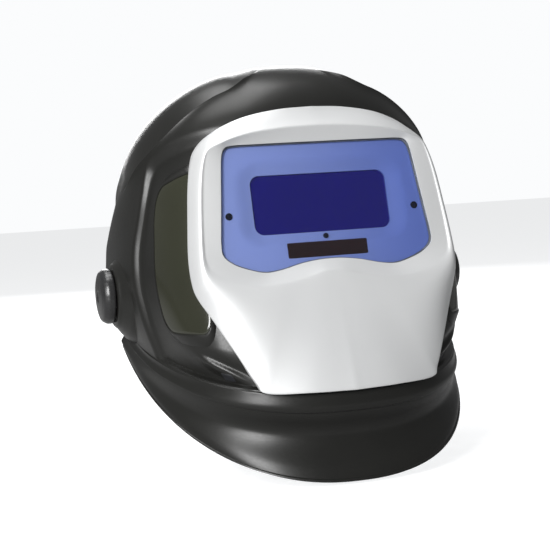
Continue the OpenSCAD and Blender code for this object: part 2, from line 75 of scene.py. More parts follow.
def through(table, u):
    """The Catmull-Rom curve through a table's rows, at row number u (which may be fractional)."""
    table = np.asarray(table, float)
    if table.ndim == 1:
        return through(table[:, None], u)[..., 0]
    last = len(table) - 1
    u = np.asarray(u, float)
    i = np.clip(np.floor(u).astype(int), 0, last - 1)
    f = (u - i)[..., None]
    p1, p2 = table[i], table[i + 1]
    p0 = np.where((i > 0)[..., None], table[np.maximum(i - 1, 0)], 2 * p1 - p2)
    p3 = np.where((i < last - 1)[..., None], table[np.minimum(i + 2, last)], 2 * p2 - p1)
    return 0.5 * (
        2 * p1 + (p2 - p0) * f + (2 * p0 - 5 * p1 + 4 * p2 - p3) * f**2 + (3 * p1 - p0 - 3 * p2 + p3) * f**3
    )


def spaced(*spans):
    """Values from span to span, each span given as (end, count) after a first starting value."""
    start, out = spans[0], [[spans[0]]]
    for end, count in spans[1:]:
        out.append(np.linspace(start, end, count + 1)[1:])
        start = end
    return np.concatenate(out)


# ---------------------------------------------------------------- finishes


def linear(code):
    """An sRGB hex colour as the linear colour that a shader reads."""
    c = np.array([int(code[i : i + 2], 16) for i in (1, 3, 5)]) / 255
    c = np.where(c <= 0.04045, c / 12.92, ((c + 0.055) / 1.055) ** 2.4)
    return (*c.tolist(), 1.0)


def add(tree, kind, sockets=None, **settings):
    """Adds one node, with its settings, and its sockets set to values or linked from other sockets."""
    n = tree.nodes.new("ShaderNode" + kind)
    for key, value in settings.items():
        setattr(n, key, value)
    for key, value in (sockets or {}).items():
        if isinstance(value, bpy.types.NodeSocket):
            tree.links.new(value, n.inputs[key])
        else:
            n.inputs[key].default_value = value
    return n


def blank(name):
    """A new material with only an output, its tree, and its Object coordinates."""
    mat = bpy.data.materials.new(name)
    mat.use_nodes = True
    tree = mat.node_tree
    tree.nodes.clear()
    out = add(tree, "OutputMaterial")
    place = add(tree, "TexCoord").outputs["Object"]
    return mat, tree, out, place


def per(mm):
    """Texture scale for one feature every so many millimetres."""
    return 1000.0 / mm


def moulded(name, light, dark, rough, spread=0.05, grain=0.8, depth=0.02, patch=35.0, **shader):
    """A finish that is mottled between two close colours over patches of so many mm, with a
    surface grain of so many mm that is depth mm deep and also varies the roughness."""
    mat, tree, out, place = blank(name)
    cloud = add(tree, "TexNoise", {"Vector": place, "Scale": per(patch), "Detail": 3.0})
    colour = add(tree, "Mix", data_type="RGBA")
    colour.inputs[6].default_value = linear(dark)
    colour.inputs[7].default_value = linear(light)
    tree.links.new(cloud.outputs["Fac"], colour.inputs[0])
    fine = add(tree, "TexNoise", {"Vector": place, "Scale": per(grain), "Detail": 4.0, "Roughness": 0.6})
    gloss = add(tree, "MapRange", {"Value": fine.outputs["Fac"], "From Min": 0.3, "From Max": 0.7,
                                   "To Min": rough - spread, "To Max": rough + spread})
    relief = add(tree, "Bump", {"Height": fine.outputs["Fac"], "Distance": depth * MM, "Strength": 1.0})
    body = add(tree, "BsdfPrincipled", {"Base Color": colour.outputs[2], "Roughness": gloss.outputs[0],
                                        "Normal": relief.outputs[0], **shader})
    tree.links.new(body.outputs[0], out.inputs[0])
    return mat


# Glass-filled nylon, injection moulded against a fine spark-eroded tool: near black, satin,
# with a grain that only shows as broken-up highlights.
shell_nylon = moulded("shell_nylon_spark_eroded", "#1e1e1c", "#171716", 0.33, 0.05, 1.1, 0.012,
                      **{"IOR": 1.53, "Specular IOR Level": 0.3})
# The smooth, polished parts of the same nylon.
smooth_nylon = moulded("black_nylon_polished", "#262626", "#1d1d1e", 0.30, 0.05, 0.9, 0.012,
                       **{"IOR": 1.53})
# Polyurethane paint with fine aluminium flake over moulded ABS: pale, softly metallic.
cover_paint = moulded("silver_paint_on_abs", "#d8d9d9", "#cfd0d1", 0.50, 0.05, 0.6, 0.010, 60.0,
                      **{"Metallic": 0.45, "IOR": 1.5, "Coat Weight": 0.12, "Coat Roughness": 0.3})
# Bare grey ABS, as moulded.
inner_abs = moulded("grey_abs_moulded", "#8f9192", "#7f8182", 0.5, 0.06, 1.0, 0.02, **{"IOR": 1.53})
# Black ABS of the cartridge housing, finely textured.
housing_abs = moulded("black_abs_fine_texture", "#232428", "#1b1c1f", 0.5, 0.06, 0.8, 0.02, **{"IOR": 1.53})
# Cold-rolled steel, tumbled and nickel plated.
steel = moulded("nickel_plated_steel", "#c2c1bd", "#a9a8a5", 0.3, 0.08, 1.5, 0.004, 12.0,
                **{"Metallic": 1.0})
# Compressed fibre washer, brown and matt.
fibre = moulded("pressed_fibre", "#6a5b4b", "#4f4337", 0.85, 0.05, 0.7, 0.05, 6.0)
# Grey silicone keys, soft and matt.
silicone = moulded("grey_silicone", "#6c6e72", "#5f6165", 0.62, 0.04, 0.5, 0.01)
# Acetal straps, moulded flat with a light satin.
strap_acetal = moulded("black_acetal_strap", "#2b2c2f", "#212225", 0.42, 0.06, 1.2, 0.02, **{"IOR": 1.48})
# Dark photodiode window, polished epoxy.
sensor_epoxy = moulded("sensor_epoxy", "#141528", "#0c0d1c", 0.12, 0.03, 1.0, 0.002, **{"IOR": 1.55})
# Fibreglass board under green solder mask.
board_mask = moulded("green_solder_mask", "#1f6a3f", "#154a2c", 0.3, 0.05, 2.0, 0.02, 3.0, **{"IOR": 1.5})


def tinted(name, light, dark, rough, patch=70.0, painted_shade=None, **shader):
    """Smooth tinted plastic: a slow change between two colours over patches of so many mm, and
    a faint roughness cloud from handling. With painted_shade given, painted shade: the colour
    darkens to that one towards the wearer's left, away from the key light, over 160 mm."""
    mat, tree, out, place = blank(name)
    cloud = add(tree, "TexNoise", {"Vector": place, "Scale": per(patch), "Detail": 1.0})
    colour = add(tree, "Mix", data_type="RGBA")
    colour.inputs[6].default_value = linear(dark)
    colour.inputs[7].default_value = linear(light)
    tree.links.new(cloud.outputs["Fac"], colour.inputs[0])
    # painted shade: the colour is mixed across X towards a deeper blue at the wearer's left
    if painted_shade:
        sideways = add(tree, "SeparateXYZ", {"Vector": place}).outputs["X"]
        share = add(tree, "MapRange", {"Value": sideways, "From Min": -0.065, "From Max": 0.095},
                    interpolation_type="SMOOTHSTEP")
        shade_mix = add(tree, "Mix", data_type="RGBA")
        shade_mix.inputs[7].default_value = linear(painted_shade)
        tree.links.new(share.outputs[0], shade_mix.inputs[0])
        tree.links.new(colour.outputs[2], shade_mix.inputs[6])
        colour = shade_mix
    wipe = add(tree, "TexNoise", {"Vector": place, "Scale": per(9.0), "Detail": 3.0})
    gloss = add(tree, "MapRange", {"Value": wipe.outputs["Fac"], "From Min": 0.3, "From Max": 0.7,
                                   "To Min": rough * 0.92, "To Max": rough * 1.08})
    body = add(tree, "BsdfPrincipled", {"Base Color": colour.outputs[2], "Roughness": gloss.outputs[0],
                                        **shader})
    tree.links.new(body.outputs[0], out.inputs[0])
    return mat


# Polycarbonate mask, metallised blue on its back face, with painted shade darkening it towards the wearer's left.
bezel_film = tinted("blue_metallised_polycarbonate", "#b4c3f4", "#a8b8ee", 0.30, 120.0, painted_shade="#7c92dc",
                    **{"Metallic": 0.15, "IOR": 1.58, "Coat Weight": 0.4, "Coat Roughness": 0.08})
# Darkening filter: coated glass over liquid crystal, deep indigo.
filter_coating = tinted("indigo_filter_glass", "#160c7c", "#120a70", 0.10, 60.0,
                        **{"IOR": 1.52, "Coat Weight": 0.6, "Coat Roughness": 0.03, "Specular IOR Level": 0.4})
# Shade 5 polycarbonate side windows: nearly black with an olive cast.
window_tint = tinted("olive_tinted_polycarbonate", "#2c2d22", "#212219", 0.14, 50.0, **{"IOR": 1.58})


def solar_finish():
    """Amorphous silicon cell: red-brown strips about 5 mm wide between fine dark scribe lines."""
    mat, tree, out, place = blank("amorphous_silicon_cell")
    strips = add(tree, "TexWave", {"Vector": place, "Scale": per(5.0) * math.pi / 10, "Distortion": 0.0},
                 wave_type="BANDS", bands_direction="X", wave_profile="SAW")
    line = add(tree, "MapRange", {"Value": strips.outputs["Fac"], "From Min": 0.0, "From Max": 0.08})
    colour = add(tree, "Mix", data_type="RGBA")
    colour.inputs[6].default_value = linear("#12090a")
    colour.inputs[7].default_value = linear("#2a0f0a")
    tree.links.new(line.outputs[0], colour.inputs[0])
    body = add(tree, "BsdfPrincipled", {"Base Color": colour.outputs[2], "Roughness": 0.16, "IOR": 1.52,
                                        "Coat Weight": 0.5, "Coat Roughness": 0.05})
    tree.links.new(body.outputs[0], out.inputs[0])
    return mat


solar_glass = solar_finish()


def clear_finish(name, colour, rough, least):
    """Clear polycarbonate sheet: see-through, with a mirror share of its tint that is least
    square on, and grows at glancing angles as a clear sheet's does."""
    mat, tree, out, place = blank(name)
    haze = add(tree, "TexNoise", {"Vector": place, "Scale": per(14.0), "Detail": 3.0})
    gloss = add(tree, "MapRange", {"Value": haze.outputs["Fac"], "To Min": rough * 0.6,
                                   "To Max": rough * 1.5})
    shine = add(tree, "BsdfPrincipled", {"Base Color": linear(colour), "Roughness": gloss.outputs[0],
                                         "IOR": 1.58, "Metallic": 1.0})
    clear = add(tree, "BsdfTransparent", {"Color": linear("#f4f6fb")})
    edge = add(tree, "Fresnel", {"IOR": 1.3})
    share = add(tree, "MapRange", {"Value": edge.outputs[0], "To Min": least, "To Max": 1.0})
    both = add(tree, "MixShader", {0: share.outputs[0], 1: clear.outputs[0], 2: shine.outputs[0]})
    tree.links.new(both.outputs[0], out.inputs[0])
    return mat


plate_clear = clear_finish("clear_polycarbonate_plate", "#e6eaf4", 0.05, 0.008)


def fabric_finish(name, light, dark, pitch):
    """Brushed polyester pile over foam: loops about pitch mm apart, in loose rows, on a mottle."""
    mat, tree, out, place = blank(name)
    across = add(tree, "TexVoronoi", {"Vector": place, "Scale": per(pitch), "Randomness": 0.55})
    cloud = add(tree, "TexNoise", {"Vector": place, "Scale": per(7.0), "Detail": 5.0})
    colour = add(tree, "Mix", data_type="RGBA")
    colour.inputs[6].default_value = linear(dark)
    colour.inputs[7].default_value = linear(light)
    tree.links.new(cloud.outputs["Fac"], colour.inputs[0])
    relief = add(tree, "Bump", {"Height": across.outputs["Distance"], "Distance": 0.5 * MM, "Strength": 0.7})
    relief.invert = True
    body = add(tree, "BsdfPrincipled", {"Base Color": colour.outputs[2], "Roughness": 0.9, "IOR": 1.45,
                                        "Normal": relief.outputs[0], "Sheen Weight": 0.35,
                                        "Sheen Roughness": 0.5})
    tree.links.new(body.outputs[0], out.inputs[0])
    return mat


pad_cloth = fabric_finish("brushed_polyester_over_foam", "#4a4c52", "#37393e", 1.6)

FINISH = {
    "shell_black": shell_nylon, "cover_silver": cover_paint, "cover_inside": inner_abs,
    "clear_plate": plate_clear, "bezel_blue": bezel_film, "filter_dark": filter_coating,
    "side_window_dark": window_tint, "solar_dark": solar_glass, "sensor_dark": sensor_epoxy,
    "board_green": board_mask, "cell_steel": steel, "steel": steel, "black_plastic": housing_abs,
    "grey_button": silicone, "strap_nylon": strap_acetal, "pad_fabric": pad_cloth,
    "friction_fibre": fibre,
}

for row in frame["record"]["subparts"]:
    for s in nodes[row["node"]].material_slots:
        s.material = FINISH[row["material_slot"]]

# ---------------------------------------------------------------- making pieces


def put(name, points, quads, body, slot, stands_for=(), finish=None, sharp=32.0, round_edges=None):
    """One piece from points (mm) and four-cornered faces. Doubles are merged, which closes
    seams and poles, and faces are turned outwards."""
    mesh = bpy.data.meshes.new(name)
    pts = np.asarray(points, float).reshape(-1, 3) * MM
    quads = np.asarray(quads).reshape(-1, 4)
    mesh.vertices.add(len(pts))
    mesh.vertices.foreach_set("co", pts.ravel())
    mesh.loops.add(quads.size)
    mesh.loops.foreach_set("vertex_index", quads.ravel())
    mesh.polygons.add(len(quads))
    mesh.polygons.foreach_set("loop_start", np.arange(0, quads.size, 4))
    mesh.update(calc_edges=True)
    bm = bmesh.new()
    bm.from_mesh(mesh)
    bmesh.ops.remove_doubles(bm, verts=bm.verts, dist=2e-6)
    bmesh.ops.dissolve_degenerate(bm, edges=bm.edges, dist=1e-7)
    loose = [v for v in bm.verts if not v.link_faces]
    bmesh.ops.delete(bm, geom=loose, context="VERTS")
    bmesh.ops.recalc_face_normals(bm, faces=bm.faces)
    bm.to_mesh(mesh)
    bm.free()
    mesh.shade_smooth()
    mesh.set_sharp_from_angle(angle=math.radians(sharp))
    mesh.materials.append(finish or FINISH[slot])
    obj = bpy.data.objects.new(name, mesh)
    bpy.context.scene.collection.objects.link(obj)
    if round_edges:
        b = obj.modifiers.new("round_edges", "BEVEL")
        b.width, b.segments, b.limit_method = round_edges * MM, 2, "ANGLE"
        b.angle_limit = math.radians(50)
        b.harden_normals = False
    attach(obj, body)
    if stands_for:
        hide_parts(*stands_for)
    return obj


def cells(ids):
    """The four corners of every cell of a grid of point numbers."""
    return np.stack([ids[:-1, :-1], ids[1:, :-1], ids[1:, 1:], ids[:-1, 1:]], -1)


def walled(outside, inside, kept):
    """A wall between two grids: the kept cells of both, and a rim where a kept cell ends."""
    m, n = outside.shape[:2]
    o = np.arange(m * n).reshape(m, n)
    i = o + m * n
    out = [cells(o)[kept], cells(i)[kept][:, ::-1]]
    edge = np.pad(kept, 1)
    for near, a, b in (
        (edge[:-2, 1:-1], (slice(None, -1), slice(None, -1)), (slice(None, -1), slice(1, None))),
        (edge[2:, 1:-1], (slice(1, None), slice(1, None)), (slice(1, None), slice(None, -1))),
        (edge[1:-1, :-2], (slice(1, None), slice(None, -1)), (slice(None, -1), slice(None, -1))),
        (edge[1:-1, 2:], (slice(None, -1), slice(1, None)), (slice(1, None), slice(1, None))),
    ):
        gone = kept & ~near
        out.append(np.stack([o[a][gone], o[b][gone], i[b][gone], i[a][gone]], -1))
    points = np.concatenate([outside.reshape(-1, 3), inside.reshape(-1, 3)])
    return points, np.concatenate(out)


def closed_rows(points, wrap_rows=False, wrap_columns=True):
    """The faces of a grid of points whose columns, and rows if asked, join up at their ends."""
    m, n = points.shape[:2]
    ids = np.arange(m * n).reshape(m, n)
    if wrap_columns:
        ids = np.concatenate([ids, ids[:, :1]], 1)
    if wrap_rows:
        ids = np.concatenate([ids, ids[:1]], 0)
    return cells(ids).reshape(-1, 4)


def turned(profile, count=96, lobes=0, notch=0.0, rest=0.0):
    """A profile of (along, radius) turned about the X axis. With lobes, the radius beyond rest
    dips by up to notch mm that many times round."""
    along, radius = np.array(profile, float).T
    a = np.linspace(0, 2 * math.pi, count, endpoint=False)
    r = np.repeat(radius[:, None], count, 1)
    if lobes:
        dip = notch * np.clip(np.cos(a * lobes), 0, 1) ** 4
        r = r - dip[None, :] * step(rest, rest + 3, r)
    x = np.repeat(along[:, None], count, 1)
    return np.stack([x, r * np.cos(a), r * np.sin(a)], -1)


def rounded(profile, radius, count=5):
    """A profile of (along, radius) with its inner corners rounded by short curves."""
    p = np.array(profile, float)
    out = [p[0]]
    for a, b, c in zip(p[:-2], p[1:-1], p[2:]):
        r = min(radius, np.linalg.norm(a - b) * 0.45, np.linalg.norm(c - b) * 0.45)
        s, e = b + (a - b) / np.linalg.norm(a - b) * r, b + (c - b) / np.linalg.norm(c - b) * r
        t = np.linspace(0, 1, count)[:, None]
        out += list((1 - t) ** 2 * s + 2 * t * (1 - t) * b + t**2 * e)
    return np.array(out + [p[-1]])


LEAN = math.radians(12)
LENS_F, LENS_Z = 101.85, 59.3


def on_lens(x, y, z):
    """Points given in the filter's own frame: x across, y up its face, z out of it."""
    x, y, z = np.broadcast_arrays(*(np.asarray(v, float) for v in (x, y, z)))
    forward = LENS_F - y * math.sin(LEAN) + z * math.cos(LEAN)
    return np.stack([x, -forward, LENS_Z + y * math.cos(LEAN) + z * math.sin(LEAN)], -1)


# ---------------------------------------------------------------- shell
# stations from the chin edge (0) over the front to the rear rim (12):
# [front forward, front height, side forward, side height, half width, roundness]
STATIONS = np.array([
    [149, -120, -20, -38, 117, 2.30], [146, -112, -21, -36, 118, 2.30], [136, -92, -22, -34, 118, 2.30],
    [142, -76, -23, -31, 116, 2.45], [141, -64, -26, -26, 114, 2.50], [125, -20, -31, -11, 121, 2.65],
    [108, 30, -32, 5, 125, 2.65], [96, 82, -37, 20, 123, 2.50], [79, 127, -44, 35, 120, 2.45],
    [45, 151, -50, 43, 115, 2.35], [0, 155, -54, 50, 111, 2.35], [-49, 146, -60, 54, 108, 2.30],
    [-87, 124, -67, 56, 107, 2.30],
], float)
SHELL_WALL = 2.6
# the cartridge opening in the filter's frame: half of its straight edges, its corner radius, the
# height of its middle, and how far in front of and behind the filter it cuts
PORT_FLAT_X, PORT_FLAT_Y, PORT_CORNER, PORT_UP, PORT_REACH = 57, 29.5, 17.2, 1.5, 60
# the bore at each pivot is cut only in the shell's sides, beyond this half width
PIVOT_BORE, SIDE_FROM = 12, 90


def bare(s, t):
    """The plain shell at station s and side share t (-1 to 1): a superellipse between the
    station's side point and its front point."""
    s, t = np.broadcast_arrays(np.asarray(s, float), np.asarray(t, float))
    v = through(STATIONS, s)
    angle = math.pi / 2 * (1 - t)
    c, h = np.cos(angle), np.abs(np.sin(angle))
    x = v[..., 4] * np.sign(c) * np.abs(c) ** (2 / v[..., 5])
    h = h ** (2 / v[..., 5])
    forward = v[..., 2] + (v[..., 0] - v[..., 2]) * h
    height = v[..., 3] + (v[..., 1] - v[..., 3]) * h
    return np.stack([x, -forward, height], -1)


def outwards(s, t):
    """The plain shell's outward direction, from the cross product of its two slopes."""
    q, a = np.clip(t, -0.985, 0.985), np.clip(s, 0.03, 11.97)
    n = np.cross(bare(a, q + 0.008) - bare(a, q - 0.008), bare(a + 0.03, q) - bare(a - 0.03, q))
    return n / np.linalg.norm(n, axis=-1, keepdims=True)


def panel_edge(s):
    """Side share where the lowered side panel ends."""
    return 0.76 - 0.02 * step(5.5, 6.4, s) - 0.10 * step(6.2, 7.8, s)


def panel_top(t):
    """Station where the lowered side panel ends at the top."""
    return 7.70 + 0.22 * step(0.2, 0.5, np.abs(t))


def crest(t):
    """Station of the ridge that crosses the crown."""
    a = np.abs(t)
    return 9.3 - 0.85 * step(0, 0.24, a) - 0.42 * step(0.2, 0.62, a)


def corner_distance(a, b, radius):
    """Distance inside two edges, a and b mm away, that meet in a round corner."""
    near = radius - np.hypot(radius - np.minimum(a, radius), radius - np.minimum(b, radius))
    return np.where((a < radius) & (b < radius), near, np.minimum(a, b))


# mm by which each feature of the relief stands out, or lies deep for the panel
PANEL_DEPTH, CHEEK_RISE, CREST_RISE, BAND_RISE, LIP_RISE = 4.0, 8.0, 2.7, 0.9, 0.8
PANEL_CORNER = 11.0
# side share taken by the panel's chamfer, and about how many mm one share and one station are
CHAMFER = 0.018
SHARE_MM, STATION_MM = 200.0, 25.0


def slit(a):
    """Station of the jaw vent's slit."""
    return 4.34 + (a - 0.335) * 1.85


def relief(s, t):
    """How far the finished shell stands out from the plain one: panels lowered inside a
    chamfered edge, cheeks raised beside the cover, a crest with a hollow behind it at each
    side, a band round the chin, a rolled lower lip and the jaw vents."""
    a = np.abs(t)
    inside = corner_distance((panel_edge(s) - a) * SHARE_MM, (panel_top(a) - s) * STATION_MM,
                             PANEL_CORNER)
    panel = step(4.06, 4.14, s) * step(-1.5, 6.0, inside)
    cheek = step(0.12, 0.40, a) * (1 - step(0.45, 0.72, a)) * step(4.1, 4.7, s) * (1 - step(7.0, 7.75, s))
    k = crest(t)
    sides = step(0.085, 0.17, a) * (1 - step(0.64, 0.80, a))
    ridge = np.where(s < k, np.exp(-np.maximum(k - s, 0) / 0.12), 1 - 3.2 * step(0, 0.09, s - k))
    hollow = ridge * (1 - step(0.15, 1.3, s - k)) * sides
    band = step(3.0, 3.05, s) * (1 - step(4.0, 4.05, s)) * (1 - step(0.80, 0.95, a))
    lip = 1 - step(0.16, 0.30, s)
    below = slit(a) - s
    along = step(0.27, 0.37, a) * (1 - step(0.43, 0.52, a))
    vent = along * (2.2 * step(-0.02, 0.12, below) * (1 - step(0.12, 0.34, below))
                    - 1.2 * step(-0.16, -0.02, below) * (1 - step(-0.02, 0.10, below)))
    return (-PANEL_DEPTH * panel + CHEEK_RISE * cheek + CREST_RISE * hollow + BAND_RISE * band
            + LIP_RISE * lip + vent)


def surface(s, t, lift=0.0):
    """Points on the finished shell, raised by lift mm."""
    return bare(s, t) + outwards(s, t) * (relief(s, t) + lift)[..., None]


def shell_lines(v, u):
    """Station and side share for grid lines v and u, bent so that one line runs along the
    crest and two run along the panel's chamfer. A few rounds settle the two on each other.
    Lines 0.56 and 0.62 across hold the chamfer, and line 9 holds the crest."""
    v, u = np.meshgrid(v, u, indexing="ij")
    a, s = np.abs(u), v.copy()
    t = a
    for _ in range(6):
        e = panel_edge(s)
        on_front = (e - CHAMFER) * a / 0.56
        on_chamfer = e - CHAMFER + CHAMFER * (a - 0.56) / 0.06
        on_side = e + (1 - e) * (a - 0.62) / 0.38
        t = np.where(a < 0.56, on_front, np.where(a < 0.62, on_chamfer, on_side))
        k = crest(t)
        before_crest = 6.9 + (k - 6.9) * (v - 6.9) / 2.1
        behind_crest = k + (12 - k) * (v - 9) / 3
        s = np.where(v < 6.9, v, np.where(v < 9, before_crest, behind_crest))
    return s, t * np.sign(u)


def make_shell():
    """The helmet shell: one bent grid outside, the same grid a wall's thickness further in, and
    openings for the cartridge, the side windows and the pivot bores."""
    v = spaced(0, (0.4, 8), (3.0, 30), (3.06, 3), (3.98, 9), (4.16, 9), (4.72, 30), (6.9, 32), (8.7, 46),
               (9, 12), (9.3, 12), (12, 28))
    half = spaced(0, (0.56, 56), (0.62, 7), (1, 34))
    u = np.concatenate([-half[:0:-1], half])
    s, t = shell_lines(v, u)
    outside, inside = surface(s, t), surface(s, t, -SHELL_WALL)
    mid_v, mid_u = np.meshgrid((v[1:] + v[:-1]) / 2, np.abs(u[1:] + u[:-1]) / 2, indexing="ij")
    centre = (outside[1:, 1:] + outside[:-1, :-1]) / 2
    face_y = (centre[..., 2] - LENS_Z) * math.cos(LEAN) - (-centre[..., 1] - LENS_F) * math.sin(LEAN)
    face_z = (centre[..., 2] - LENS_Z) * math.sin(LEAN) + (-centre[..., 1] - LENS_F) * math.cos(LEAN)
    past_x = np.maximum(np.abs(centre[..., 0]) - PORT_FLAT_X, 0)
    past_y = np.maximum(np.abs(face_y - PORT_UP) - PORT_FLAT_Y, 0)
    port = (np.hypot(past_x, past_y) < PORT_CORNER) & (np.abs(face_z) < PORT_REACH)
    window = (mid_v > 5.3) & (mid_v < 6.8) & (mid_u > 0.345) & (mid_u < 0.40)
    bore = (np.hypot(centre[..., 1], centre[..., 2]) < PIVOT_BORE) & (np.abs(centre[..., 0]) > SIDE_FROM)
    points, quads = walled(outside, inside, ~(port | window | bore))
    return put("helmet_shell", points, quads, "helmet", "shell_black", ["shell"], round_edges=0.7)


make_shell()

# flared boss round each pivot, with its bore
for side, name in ((1, "pivot_boss_left"), (-1, "pivot_boss_right")):
    boss = rounded([(113.5, 35), (118.5, 31), (124.2, 23.5), (126.6, 21.5), (126.6, 6.3), (117.7, 6.3),
                    (117.7, 22), (113.5, 24)], 1.6, 7)
    grid = turned(boss, 128)
    grid[..., 0] *= side
    put(name, grid, closed_rows(grid, wrap_rows=True), "helmet", "shell_black")


def rounded_box(w, h, r, count=160):
    """Points round a box with rounded corners: the box's distance field followed along rays."""
    a = np.linspace(0, 2 * math.pi, count, endpoint=False)
    d = np.stack([np.cos(a) * w / 2, np.sin(a) * h / 2], -1)
    lo, hi = np.zeros(count), np.full(count, 2.0)
    for _ in range(40):
        mid = (lo + hi) / 2
        q = np.abs(d * mid[:, None]) - np.array([w / 2 - r, h / 2 - r])
        away = np.hypot(np.maximum(q[:, 0], 0), np.maximum(q[:, 1], 0)) + np.minimum(q.max(1), 0) - r
        lo, hi = np.where(away < 0, mid, lo), np.where(away < 0, hi, mid)
    return d * lo[:, None]


def make_port_frame():
    """The frame moulded round the cartridge opening: a wall carried round a rounded box."""
    section = ((0, -17.5), (0.6, -18.6), (2.6, -18.6), (3.2, -17.5), (3.2, -9.1), (2.6, -8.5), (0.6, -8.5),
               (0, -9.1))
    rows = []
    for grow, z in section:
        edge = rounded_box(144.8 + 2 * grow, 90.6 + 2 * grow, 17 + grow)
        rows.append(on_lens(edge[:, 0], edge[:, 1] + PORT_UP, z))
    grid = np.stack(rows)
    return put("port_frame", grid, closed_rows(grid, wrap_rows=True), "helmet", "shell_black")


make_port_frame()


def window_edge(s):
    """Side share of the side window's rear edge."""
    return 0.63 - 0.03 * step(5.4, 6.6, s) - 0.03 * step(6.6, 7.3, s)


# mm along the shell that a panel counts for one station
PATCH_STATION_MM = 30.0


def make_patch(name, stands_for, side, slot, ends, shares, corner, rings, hollow=False):
    """A panel that follows the shell between two stations and two side shares, in a rounded box
    of mm drawn on the shell. Each ring is (inset across, inset along, height above the shell).
    The rings run inwards from the edge; then the last one shrinks to the middle, or, if hollow,
    the panel is a frame whose back repeats the rings a little lower."""
    low, high = ends
    w, h = (shares[1]((low + high) / 2) - shares[0]) * SHARE_MM, (high - low) * PATCH_STATION_MM

    def ring(dx, dy, up, shrink=1.0):
        e = rounded_box(w - 2 * dx, h - 2 * dy, max(corner - max(dx, dy), 1.0), 200) * shrink
        s = (low + high) / 2 + e[:, 1] / PATCH_STATION_MM
        t = shares[0] + (0.5 + e[:, 0] / w) * (shares[1](s) - shares[0])
        return surface(s, side * t, up)

    front = [ring(*r) for r in rings]
    last = rings[-1]
    if hollow:
        rows = front + [ring(dx, dy, -0.3) for dx, dy, up in rings[::-1]]
    else:
        shrink = [0.97, 0.9, 0.8, 0.7, 0.6, 0.5, 0.4, 0.3, 0.2, 0.1, 0.0]
        rows = [ring(rings[0][0], rings[0][1], -0.2, k) for k in shrink[::-1] + [1.0]] + front
        rows += [ring(*last, k) for k in shrink]
    grid = np.stack(rows)
    return put(name, grid, closed_rows(grid, wrap_rows=hollow), "helmet", slot, stands_for, sharp=38)


SIDE_WINDOW = {"ends": (4.70, 7.40), "shares": (0.37, window_edge), "corner": 15.0}

for side, word in ((1, "left"), (-1, "right")):
    make_patch(f"window_surround_{word}", [], side, "shell_black", hollow=True, **SIDE_WINDOW,
               rings=[(0, 0, 0.1), (0.2, 0.3, 0.5), (1.3, 4.2, 2.5), (1.6, 4.8, 2.7), (2.2, 5.4, 2.5),
                      (2.5, 5.8, 1.4)])
    make_patch(f"side_window_pane_{word}", [f"side_window_{word}"], side, "side_window_dark", **SIDE_WINDOW,
               rings=[(2.3, 5.5, 1.2), (2.4, 5.6, 2.05), (2.8, 6.0, 2.25)])
    make_patch(f"vent_grille_{word}", [f"vent_insert_{word}"], side, "black_plastic", (4.16, 4.30),
               (0.38, lambda s: 0.43 + 0 * s), 1.2, [(0, 0, 0.1), (0.2, 0.2, 0.35), (0.6, 0.6, 0.45)])

# ---------------------------------------------------------------- front cover
# round the half loop from top middle to bottom middle:
# opening in the filter plane [half width, height on the face]
OPENING = np.array([
    [0, 40.3], [22, 40.3], [44, 40.2], [58, 40], [63.6, 38.5], [66.3, 33.5], [68, 22], [70, 4], [72, -13],
    [73.3, -25], [72.6, -33], [66, -39], [55, -43.5], [45, -45.7], [34, -44.5], [20, -41.2], [8, -39.6], [0, -39.3],
])
# crease between the sloped surround and the main face [half width, height, stand-off from the face]
CREASE = np.array([
    [0, 109.3, 6.0], [22, 108.6, 6.0], [44, 106.4, 5.8], [58, 103.4, 5.0], [67, 100.2, 3.4], [74, 96.5, 1.5],
    [77.6, 89.5, 0.6], [80.6, 74.5, 0.3], [83.0, 54, 0.2], [84.5, 36, 0.3], [84.4, 24.5, 0.8], [80.5, 17, 2.0],
    [67, 9.6, 3.6], [52, 6.2, 4.6], [38, 6.4, 5.0], [22, 8.9, 5.0], [8, 12.6, 5.0], [0, 13.2, 5.0],
])
# outline [half width, height, forward, depth of the folded lip]
OUTLINE = np.array([
    [0, 122.5, 88, 5], [22, 121.5, 87, 4.7], [44, 118, 85, 6], [60, 112.5, 82, 8], [71, 106, 80, 11],
    [78, 99, 79, 11], [82.5, 91, 79.5, 8.5], [87, 75, 83, 4.2], [90, 52, 88, 3.8], [92.5, 27, 93.5, 3.7], [92.6, 11, 99.5, 5.2],
    [90.6, 1, 103.5, 4.5], [83, -14, 112, 4.2], [72, -36, 124, 5.4], [63, -54, 132.5, 9], [57, -60.8, 137, 6],
    [30, -62, 144, 4], [0, -62.6, 146.5, 4],
])
# forward distance of the main face by height, from -65 in steps of 15
FACE = np.array([147.5, 141.5, 135.3, 129.2, 123.5, 118.2, 113.4, 109.4, 105.8, 102.4, 99.0, 95.4, 90.6, 82])


def face_forward(z):
    """Forward distance of the main face on the centre line, at a height."""
    return through(FACE, np.clip((z + 65) / 15, 0, 12.99))


